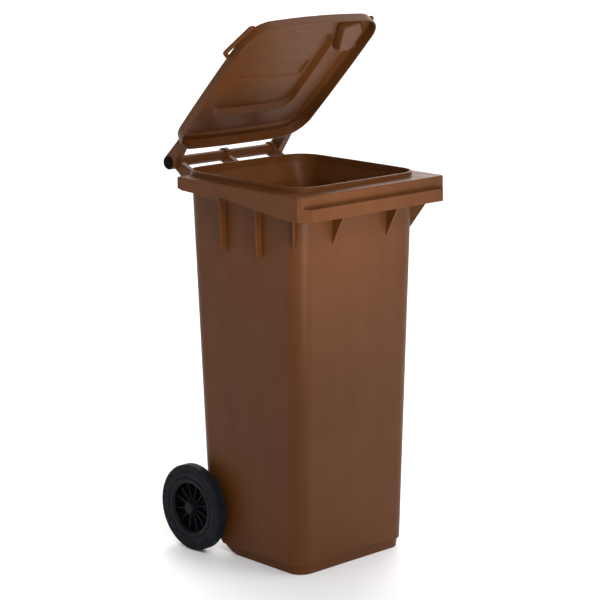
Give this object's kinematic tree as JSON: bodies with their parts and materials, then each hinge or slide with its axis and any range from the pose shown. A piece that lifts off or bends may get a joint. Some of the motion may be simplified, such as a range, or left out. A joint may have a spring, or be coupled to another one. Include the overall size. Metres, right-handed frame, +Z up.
{
  "type": "wheelie bin",
  "caption": "Two-wheeled plastic refuse bin with a tapered tub, rear handle bar, hinged lid and solid rubber tyres on push-on wheels.",
  "frame": {"origin": "on the floor, under the centre of the foot", "axes": "+Z up, the front of the bin faces -Y, the handle, hinge and wheels are at +Y, the axle runs along X"},
  "size_m": [0.45, 0.519, 1.2232],
  "materials": {
    "bin_plastic": "semi-matt moulded polyethylene with a fine grain",
    "lid_plastic": "semi-matt moulded polyethylene with a fine grain",
    "pin_plastic": "black moulded plastic",
    "rim_plastic": "charcoal moulded plastic",
    "cap_plastic": "charcoal moulded plastic",
    "tyre_rubber": "dull solid rubber",
    "axle_steel": "zinc plated",
    "lock_steel": "zinc plated"
  },
  "bodies": {
    "tub": {"body_shell": "bin_plastic", "axle": "axle_steel", "hinge_pin_left": "pin_plastic", "hinge_pin_right": "pin_plastic"},
    "lid": {"lid": "lid_plastic"},
    "left_wheel": {"wheel_rim_left": "rim_plastic", "wheel_tyre_left": "tyre_rubber", "hub_cap_left": "cap_plastic", "lock_retainer_left": "rim_plastic", "lock_spring_left": "lock_steel"},
    "left_lock": {"lock_pin_left": "lock_steel"},
    "right_wheel": {"wheel_rim_right": "rim_plastic", "wheel_tyre_right": "tyre_rubber", "hub_cap_right": "cap_plastic", "lock_retainer_right": "rim_plastic", "lock_spring_right": "lock_steel"},
    "right_lock": {"lock_pin_right": "lock_steel"}
  },
  "joints": [
    {"name": "lid_hinge", "type": "hinge", "parent": "tub", "child": "lid", "pos_m": [0, 0.3205, 0.8822], "axis": [-1, 0, 0], "range_deg": [-46, 213.5]},
    {"name": "left_wheel_spin", "type": "hinge", "parent": "tub", "child": "left_wheel", "pos_m": [-0.2, 0.209, 0.1], "axis": [1, 0, 0], "continuous": true},
    {"name": "left_lock_pull", "type": "slide", "parent": "left_wheel", "child": "left_lock", "axis": [0, 0, 1], "range_m": [0, 0.003], "stiffness_N_per_m": 400, "springref_m": -0.004, "deforming": ["lock_spring_left"]},
    {"name": "right_wheel_spin", "type": "hinge", "parent": "tub", "child": "right_wheel", "pos_m": [0.2, 0.209, 0.1], "axis": [1, 0, 0], "continuous": true},
    {"name": "right_lock_pull", "type": "slide", "parent": "right_wheel", "child": "right_lock", "axis": [0, 0, 1], "range_m": [0, 0.003], "stiffness_N_per_m": 400, "springref_m": -0.004, "deforming": ["lock_spring_right"]}
  ]
}
